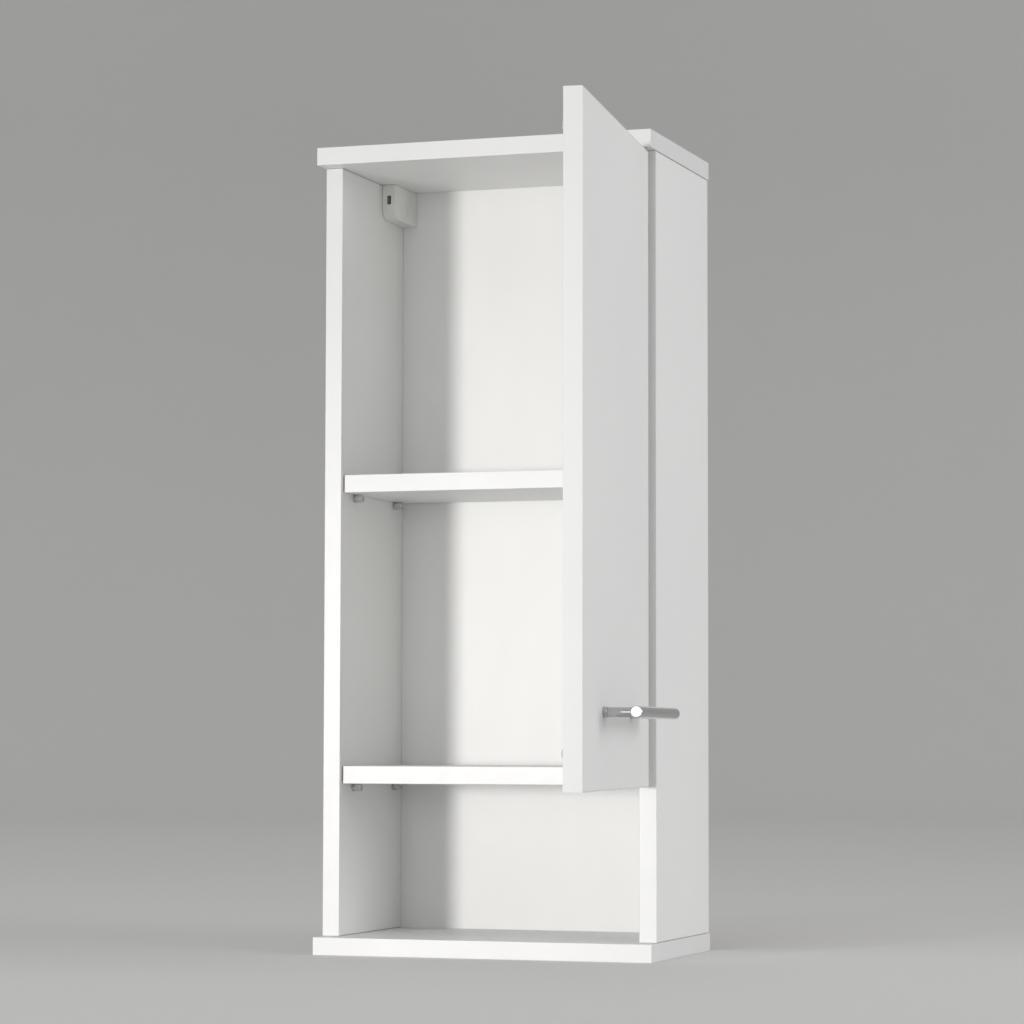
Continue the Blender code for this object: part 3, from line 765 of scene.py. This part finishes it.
def hex_recess(screw, radius, depth):
    reach = radius * RECESS_SHARE
    outline = [(reach * math.cos(math.tau * i / 6), reach * math.sin(math.tau * i / 6)) for i in range(6)]
    tool = prism("socket", outline, (0, 0, -depth), (0, 0, 1), (0, 1, 0), 2 * depth)
    tool.matrix_world = screw.matrix_world.copy()
    cut(screw, tool)


def shank(length, radius):
    """The rest of a screw from under its head: thread, then a point."""
    point = radius * POINT_LENGTH
    return [*thread(0.0, length - point, radius), (length - point, radius - THREAD_DEPTH), (length, 0.0)]


def flat_head_screw(node, start, direction, radius, head_height, body_radius, length, recess):
    """A countersunk screw, its head flush with the start."""
    crown = radius * 0.06
    profile = [
        (0.0, 0.0),
        (0.0, radius - crown),
        (crown, radius),
        (head_height * 0.25, radius),
        (head_height, body_radius),
        (head_height * 1.2, body_radius - THREAD_DEPTH),
    ]
    profile += [(head_height * 1.2 + along, r) for along, r in shank(length - head_height * 1.2, body_radius)]
    screw = lathe(node + "_screw", profile, start, direction, SMALL)
    recess(screw, radius, head_height * 0.8)
    return stand_in(screw, NICKEL, node)


def pan_head_screw(node, start, direction, radius, head_height, body_radius, length):
    """A screw with a domed head that stands on its seat."""
    dome = [(head_height * (1 - math.cos(t)) * 0.8, radius * math.sin(t)) for t in dome_turns(6)]
    profile = [*dome, (head_height, radius), (head_height, body_radius - THREAD_DEPTH)]
    profile += [(head_height + along, r) for along, r in shank(length - head_height, body_radius)]
    screw = lathe(node + "_screw", profile, start, direction, SMALL)
    cross_recess(screw, radius, head_height * 0.75)
    return stand_in(screw, NICKEL, node)


def dome_turns(steps):
    return [math.pi / 2 * i / steps for i in range(steps + 1)]


def make_assembly_screws():
    for end, way in (("bottom", 1), ("top", -1)):
        for side in SIDES:
            for place in PLACES:
                node = f"assembly_screw_{end}_{side}_{place}"
                low, high = box_of(node)
                middle = (low + high) / 2
                radius = (high.x - low.x) / 2
                start = (middle.x, middle.y, low.z if way > 0 else high.z)
                length = high.z - low.z
                flat_head_screw(
                    node, start, (0, 0, way), radius, radius * 0.8, radius * 0.5, length, hex_recess
                )


def make_screw_caps():
    """Low domed caps with a bevelled rim and a shallow ring."""
    for side in SIDES:
        for place in PLACES:
            node = f"screw_cap_{side}_{place}"
            low, high = box_of(node)
            middle = (low + high) / 2
            radius = (high.x - low.x) / 2
            height = high.z - low.z
            shoulder = [
                (height * (0.55 + 0.3 * math.sin(turn)), radius * (0.9 + 0.08 * math.cos(turn)))
                for turn in dome_turns(4)
            ]
            profile = [
                (0.0, 0.0),
                (0.0, radius * 0.96),
                (height * 0.15, radius),
                (height * 0.40, radius),
                *shoulder,
                (height * 0.78, radius * 0.82),
                (height * 0.84, radius * 0.74),
                (height * 0.94, radius * 0.45),
                (height, 0.0),
            ]
            cap = lathe(node + "_cap", profile, (middle.x, middle.y, low.z), (0, 0, 1), FINE)
            stand_in(cap, PLASTIC, node)


# ---------------------------------------------------------------- handle


def make_handle():
    low, high = box_of("handle_bar")
    radius = (high.z - low.z) / 2
    axis = (low + high) / 2
    length = high.x - low.x
    start_arc = fillet((BAR_END_ROUND, radius - BAR_END_ROUND), BAR_END_ROUND, 180, 90)
    end_arc = fillet((length - BAR_END_ROUND, radius - BAR_END_ROUND), BAR_END_ROUND, 90, 0)
    rings = [(length * i / BAR_RINGS, radius) for i in range(1, BAR_RINGS)]
    near_end = [(0.0, 0.0), (0.0, radius * 0.5), *start_arc]
    far_end = [*end_arc, (length, radius * 0.5), (length, 0.0)]
    profile = near_end + rings + far_end
    bar = lathe("handle_bar_rod", profile, (low.x, axis.y, axis.z), (1, 0, 0), FINE)
    stand_in(bar, CHROME, "handle_bar")
    for side in ("free_side", "hinge_side"):
        make_handle_post(f"handle_post_{side}", axis, radius)


def make_handle_post(node, bar_axis, bar_radius):
    """A turned post: a collar on the door, a groove, then the shaft up to the bar."""
    low, high = box_of(node)
    middle = (low + high) / 2
    radius = (high.z - low.z) / 2
    height = high.y - bar_axis.y
    slim = radius - COLLAR_PROUD
    neck = radius - 2 * COLLAR_PROUD
    groove_top = COLLAR_HEIGHT + COLLAR_GROOVE
    profile = [
        (0.0, 0.0),
        (0.0, radius - COLLAR_ROUND),
        (COLLAR_ROUND, radius),
        *fillet((COLLAR_HEIGHT - COLLAR_PROUD, slim), COLLAR_PROUD, 90, 0),
        (COLLAR_HEIGHT, neck),
        (groove_top, neck),
        (groove_top, slim - SHAFT_ROUND),
        (groove_top + SHAFT_ROUND, slim),
        (height, slim),
        (height, 0.0),
    ]
    post = lathe(node + "_turned", profile, (middle.x, high.y, middle.z), (0, -1, 0), FINE)
    start = (bar_axis.x - SADDLE_REACH, bar_axis.y, bar_axis.z)
    saddle_radius = bar_radius + SADDLE_GAP
    saddle_end = 2 * SADDLE_REACH
    saddle = [(0.0, 0.0), (0.0, saddle_radius), (saddle_end, saddle_radius), (saddle_end, 0.0)]
    cut(post, lathe("saddle", saddle, start, (1, 0, 0), FINE))
    stand_in(post, CHROME, node)


def make_handle_screws():
    for side in ("free_side", "hinge_side"):
        node = f"handle_screw_{side}"
        low, high = box_of(node)
        middle = (low + high) / 2
        radius = (high.z - low.z) / 2
        start = (middle.x, high.y, middle.z)
        length = high.y - low.y
        pan_head_screw(node, start, (0, -1, 0), radius, HANDLE_SCREW_HEAD, HANDLE_SCREW_RADIUS, length)


# ---------------------------------------------------------------- hinges


def make_hinge_cup(level):
    """The pressed cup: a rounded flange, a rolled rim and a bowl with a soft floor edge."""
    node = f"hinge_cup_{level}"
    low, high = box_of(node)
    centre_x = high.x - BOWL_RADIUS
    centre_z = (low.z + high.z) / 2
    outline = rounded_rectangle(high.z - low.z, FLANGE_WIDTH, FLANGE_CORNER, CORNER_STEPS)
    start = (centre_x - FLANGE_INBOARD, high.y - FLANGE, centre_z)
    cup = prism(node + "_pressed", outline, start, (0, 1, 0), (1, 0, 0), FLANGE)
    rounded(cup, STAMPED_ROUND, 3)
    mouth = (centre_x, high.y, centre_z)
    depth = high.y - low.y
    cut(cup, lathe("bowl", bowl_outside(depth), mouth, (0, -1, 0), FINE), "UNION")
    cut(cup, lathe("hollow", bowl_inside(depth), mouth, (0, -1, 0), FINE))
    for end in ENDS:
        screw_low, screw_high = box_of(f"hinge_cup_screw_{level}_{end}")
        place = (screw_low + screw_high) / 2
        head = (screw_high.z - screw_low.z) / 2
        wide = head + SEAT_PLAY
        seat = [(-OVERSHOOT, 0.0), (-OVERSHOOT, wide), (0.0, wide), (head, 0.0)]
        cut(cup, lathe("seat", seat, (place.x, screw_high.y, place.z), (0, -1, 0), SMALL))
    stand_in(cup, NICKEL, node)


def bowl_outside(depth):
    """The bowl's outer profile, from its rolled rim to the rounded floor edge."""
    soft = BOWL_FLOOR_ROUND
    return [
        (0.0, 0.0),
        (0.0, BOWL_RADIUS - CUP_RIM),
        *fillet((CUP_RIM, BOWL_RADIUS - CUP_RIM), CUP_RIM, 180, 90)[1:],
        (depth - soft, BOWL_RADIUS),
        *fillet((depth - soft, BOWL_RADIUS - soft), soft, 90, 0)[1:],
        (depth, 0.0),
    ]


def bowl_inside(depth):
    """The hollow in the bowl, which starts above its mouth."""
    soft = BOWL_FLOOR_ROUND
    above = -2 * OVERSHOOT
    hollow = BOWL_RADIUS - CUP_WALL
    floor = depth - CUP_WALL
    return [
        (above, 0.0),
        (above, hollow + CUP_RIM),
        (0.0, hollow + CUP_RIM),
        (CUP_RIM, hollow),
        (floor - soft, hollow),
        *fillet((floor - soft, hollow - soft), soft, 90, 0)[1:],
        (floor, 0.0),
    ]


def make_hinge_plate(level):
    """The mounting plate: a winged base with rounded ends and a raised ridge with soft edges."""
    node = f"hinge_plate_{level}"
    low, high = box_of(node)
    screw_low, screw_high = box_of(f"hinge_plate_screw_{level}_bottom")
    centre_y = (screw_low.y + screw_high.y) / 2
    centre_z = (low.z + high.z) / 2
    wing = rounded_rectangle(WING_WIDTH, high.z - low.z, WING_CORNER, CORNER_STEPS)
    start = (high.x - WING_THICKNESS, centre_y, centre_z)
    plate = prism(node + "_cast", wing, start, (1, 0, 0), (0, 0, 1), WING_THICKNESS)
    rounded(plate, STAMPED_ROUND, 3)
    ridge_low = (low.x, low.y, centre_z - RIDGE_HALF_WIDTH)
    ridge_high = (high.x, high.y, centre_z + RIDGE_HALF_WIDTH)
    ridge = block("ridge", ridge_low, ridge_high)
    rounded(ridge, RIDGE_ROUND, 3)
    cut(plate, ridge, "UNION")
    above = -WIDE_OVERSHOOT
    below = 2 * WIDE_OVERSHOOT
    hole = [(above, 0.0), (above, PLATE_HOLE_RADIUS), (below, PLATE_HOLE_RADIUS), (below, 0.0)]
    for end in ENDS:
        place = middle_of(f"hinge_plate_screw_{level}_{end}")
        cut(plate, lathe("hole", hole, (high.x, place.y, place.z), (1, 0, 0), SMALL))
    stand_in(plate, NICKEL, node)


def make_hinge_arm(level):
    """The arm: a slim cover forked at its nose, with a pressed recess and two adjusting screws."""
    node = f"hinge_arm_{level}"
    low, high = box_of(node)
    arm = solid_of(node, node + "_pressed")
    centre_z = (low.z + high.z) / 2
    recess_low = (low.x - OVERSHOOT, low.y + ARM_RECESS_FROM_NOSE, centre_z - ARM_RECESS_HALF_WIDTH)
    recess_high = (low.x + ARM_RECESS_DEPTH, high.y - ARM_RECESS_FROM_REAR, centre_z + ARM_RECESS_HALF_WIDTH)
    cut(arm, block("recess", recess_low, recess_high))
    rounded(arm, ARM_ROUND, 2, 50)
    stand_in(arm, NICKEL, node)
    places = {"front": low.y + ADJUSTER_FROM_NOSE, "rear": high.y - ADJUSTER_FROM_REAR}
    profile = [
        (0.0, 0.0),
        (0.0, ADJUSTER_RADIUS - ADJUSTER_ROUND),
        (ADJUSTER_ROUND, ADJUSTER_RADIUS),
        (ADJUSTER_HEIGHT, ADJUSTER_RADIUS),
        (ADJUSTER_HEIGHT, 0.0),
    ]
    for place, y in places.items():
        start = (low.x + ADJUSTER_SUNK, y, centre_z)
        screw = lathe(f"hinge_adjuster_{level}_{place}", profile, start, (1, 0, 0), SMALL)
        cross_recess(screw, ADJUSTER_RADIUS, ADJUSTER_RECESS)
        present(screw, NICKEL, BODY_OF[node], node)


def make_hinge_link(level):
    link = solid_of(f"hinge_link_{level}", f"hinge_link_{level}_pressed")
    rounded(link, LINK_ROUND, 2, 50)
    stand_in(link, NICKEL, f"hinge_link_{level}")


def make_hinge_pin(level):
    """The riveted pin: a straight rod with turned-over ends."""
    node = f"hinge_pin_{level}"
    low, high = box_of(node)
    middle = (low + high) / 2
    radius = (high.x - low.x) / 2
    length = high.z - low.z
    soft = radius * PIN_RIVET_SHARE
    lower = fillet((soft, radius - soft), soft, 180, 90)
    upper = fillet((length - soft, radius - soft), soft, 90, 0)
    profile = [(0.0, 0.0), *lower, *upper, (length, 0.0)]
    pin = lathe(node + "_riveted", profile, (middle.x, middle.y, low.z), (0, 0, 1), SMALL)
    stand_in(pin, NICKEL, node)


def make_hinge_screws(level):
    for end in ENDS:
        node = f"hinge_cup_screw_{level}_{end}"
        low, high = box_of(node)
        middle = (low + high) / 2
        radius = (high.z - low.z) / 2
        start = (middle.x, high.y, middle.z)
        length = high.y - low.y
        flat_head_screw(node, start, (0, -1, 0), radius, radius * 0.5, radius * 0.5, length, cross_recess)
        node = f"hinge_plate_screw_{level}_{end}"
        low, high = box_of(node)
        middle = (low + high) / 2
        radius = (high.z - low.z) / 2
        start = (low.x, middle.y, middle.z)
        length = high.x - low.x
        pan_head_screw(node, start, (1, 0, 0), radius, PLATE_SCREW_HEAD, PLATE_SCREW_RADIUS, length)


# ---------------------------------------------------------------- plastic and small parts


def pin_profile(length, head):
    """A shelf pin's half section: peg with a waist, then a ringed head with a dished end."""
    neck = PEG_LENGTH
    down, bottom_start, bottom_end, up = PIN_GROOVE
    peg = [
        (0.0, 0.0),
        (0.0, PEG_RADIUS * 0.7),
        (PEG_RADIUS * 0.3, PEG_RADIUS),
        (neck * 0.45, PEG_RADIUS),
        (neck * 0.50, PEG_RADIUS * 0.9),
        (neck * 0.58, PEG_RADIUS * 0.9),
        (neck * 0.63, PEG_RADIUS),
        (neck, PEG_RADIUS),
    ]
    rings = [
        (neck, head - PIN_EDGE),
        (neck + PIN_EDGE, head),
        (neck + down, head),
        (neck + bottom_start, head * 0.93),
        (neck + bottom_end, head * 0.93),
        (neck + up, head),
    ]
    end = [
        *fillet((length - PIN_END_ROUND, head - PIN_END_ROUND), PIN_END_ROUND, 90, 0),
        (length, head * 0.62),
        (length - PIN_DISH, head * 0.45),
        (length - PIN_DISH, 0.0),
    ]
    return peg + rings + end


def make_shelf_pins():
    for level in LEVELS:
        for side, sign in SIDES.items():
            for place in PLACES:
                node = f"shelf_pin_{level}_{side}_{place}"
                low, high = box_of(node)
                middle = (low + high) / 2
                profile = pin_profile(high.x - low.x, (high.z - low.z) / 2)
                start = (low.x if sign < 0 else high.x, middle.y, middle.z)
                pin = lathe(node + "_moulded", profile, start, (-sign, 0, 0), SMALL)
                stand_in(pin, CLEAR, node)


def make_door_bumpers():
    for name in LEVELS:
        node = f"door_bumper_{name}"
        low, high = box_of(node)
        middle = (low + high) / 2
        radius = (high.z - low.z) / 2
        height = high.y - low.y
        dome = [(height * math.sin(t), radius * (0.35 + 0.65 * math.cos(t))) for t in dome_turns(8)]
        profile = [(0.0, 0.0), *dome, (height, 0.0)]
        bumper = lathe(node + "_dome", profile, (middle.x, low.y, middle.z), (0, 1, 0), SMALL, 50)
        stand_in(bumper, CLEAR, node)


def make_hanger(side, sign):
    """The housing, with soft edges and moulded grooves, then its hook and its adjusting screw."""
    node = f"hanger_housing_{side}"
    low, high = box_of(node)
    housing = solid_of(node, node + "_moulded")
    outer_x = low.x if sign > 0 else high.x
    for share in RIB_PLACES:
        y = low.y + (high.y - low.y) * share
        near, far = sorted((outer_x - sign * OVERSHOOT, outer_x + sign * RIB_DEPTH))
        groove = block("groove", (near, y, low.z + RIB_MARGIN), (far, y + RIB_WIDTH, high.z - RIB_MARGIN))
        cut(housing, groove)
    rounded(housing, HOUSING_ROUND, 3, 35)
    stand_in(housing, PLASTIC, node)
    make_hanger_hook(side)
    make_hanger_screw(side)


def make_hanger_hook(side):
    node = f"hanger_hook_{side}"
    hook = solid_of(node, node + "_steel")
    rounded(hook, HOOK_ROUND, 2, 50)
    stand_in(hook, NICKEL, node)


def make_hanger_screw(side):
    node = f"hanger_screw_{side}"
    low, high = box_of(node)
    middle = (low + high) / 2
    radius = (high.z - low.z) / 2
    start = (middle.x, low.y, middle.z)
    length = high.y - low.y
    pan_head_screw(node, start, (0, 1, 0), radius, HANGER_SCREW_HEAD, HANGER_SCREW_RADIUS, length)


# ---------------------------------------------------------------- studio


def cove_profile():
    """The cove's (rise, radius) points from the flat floor to the top of its wall."""
    points = [(0.0, COVE_CORE), (0.0, COVE_FLAT)]
    for i in range(1, COVE_STEPS + 1):
        turn = math.pi / 2 * i / COVE_STEPS
        points.append((COVE_BEND * (1 - math.cos(turn)), COVE_FLAT + COVE_BEND * math.sin(turn)))
    points.append((COVE_BEND + COVE_WALL, COVE_FLAT + COVE_BEND))
    return points


def make_cove():
    """A round studio cove: a flat floor that bends up into a low wall all round."""
    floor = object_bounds()[0].z
    bm = bmesh.new()
    middle = bm.verts.new((0, 0, floor))
    turns = [math.tau * i / COVE_SIDES for i in range(COVE_SIDES)]
    rings = []
    for rise, radius in cove_profile():
        places = [(radius * math.cos(turn), radius * math.sin(turn), floor + rise) for turn in turns]
        rings.append([bm.verts.new(place) for place in places])
    for i in range(COVE_SIDES):
        after = (i + 1) % COVE_SIDES
        bm.faces.new((middle, rings[0][i], rings[0][after]))
        for lower, upper in zip(rings, rings[1:]):
            bm.faces.new((lower[i], upper[i], upper[after], lower[after]))
    mesh = bpy.data.meshes.new("studio_cove")
    bm.to_mesh(mesh)
    bm.free()
    mesh.shade_smooth()
    mesh.materials.append(studio_floor())
    cove = bpy.data.objects.new("studio_cove", mesh)
    bpy.context.scene.collection.objects.link(cove)


def soft_light(name, place, target, size, power, color, spread):
    """A round area light that faces its target and fans out over the given angle in degrees."""
    data = bpy.data.lights.new(name, "AREA")
    data.shape = "DISK"
    data.size = size
    data.energy = power
    data.color = color
    data.spread = math.radians(spread)
    lamp = bpy.data.objects.new(name, data)
    bpy.context.scene.collection.objects.link(lamp)
    lamp.location = place
    lamp.rotation_euler = (Vector(target) - Vector(place)).to_track_quat("-Z", "Y").to_euler()


def make_lights():
    """A key near the camera's height from the left, a broad front fill, a right fill and a pale sky."""
    soft_light("key", (-1.23, -3.37, 0.24), KEY_TARGET, 0.45, 5.9, KEY_WHITE, 60)
    soft_light("front_fill", (-0.10, -4.6, 0.75), CABINET_CENTRE, 1.4, 1.6, KEY_WHITE, 60)
    soft_light("right_fill", (3.0, -0.9, 0.9), CABINET_CENTRE, 1.8, 8.2, SKY_WHITE, 80)
    world = bpy.data.worlds.new("studio_sky")
    world.use_nodes = True
    sky = world.node_tree.nodes["Background"]
    sky.inputs["Color"].default_value = (*SKY_WHITE, 1.0)
    sky.inputs["Strength"].default_value = SKY_STRENGTH
    bpy.context.scene.world = world


def make_camera():
    """The camera where the photograph was taken from, with its lens."""
    data = bpy.data.cameras.new("camera")
    data.sensor_width = 36
    data.lens = LENS
    data.clip_start = 0.1
    data.clip_end = 40
    camera = bpy.data.objects.new("camera", data)
    bpy.context.scene.collection.objects.link(camera)
    heading = Matrix.Rotation(math.radians(CAMERA_HEADING), 4, "Z")
    pitch = Matrix.Rotation(math.radians(90 + CAMERA_PITCH), 4, "X")
    roll = Matrix.Rotation(math.radians(CAMERA_ROLL), 4, "Z")
    camera.matrix_world = Matrix.Translation(CAMERA_PLACE) @ heading @ pitch @ roll
    bpy.context.scene.camera = camera
    bpy.context.scene.view_settings.view_transform = "Standard"


def main():
    make_boards()
    make_assembly_screws()
    make_screw_caps()
    make_handle()
    make_handle_screws()
    for level in LEVELS:
        make_hinge_cup(level)
        make_hinge_plate(level)
        make_hinge_arm(level)
        make_hinge_link(level)
        make_hinge_pin(level)
        make_hinge_screws(level)
    make_shelf_pins()
    make_door_bumpers()
    for side, sign in SIDES.items():
        make_hanger(side, sign)
    make_cove()
    make_lights()
    make_camera()


main()
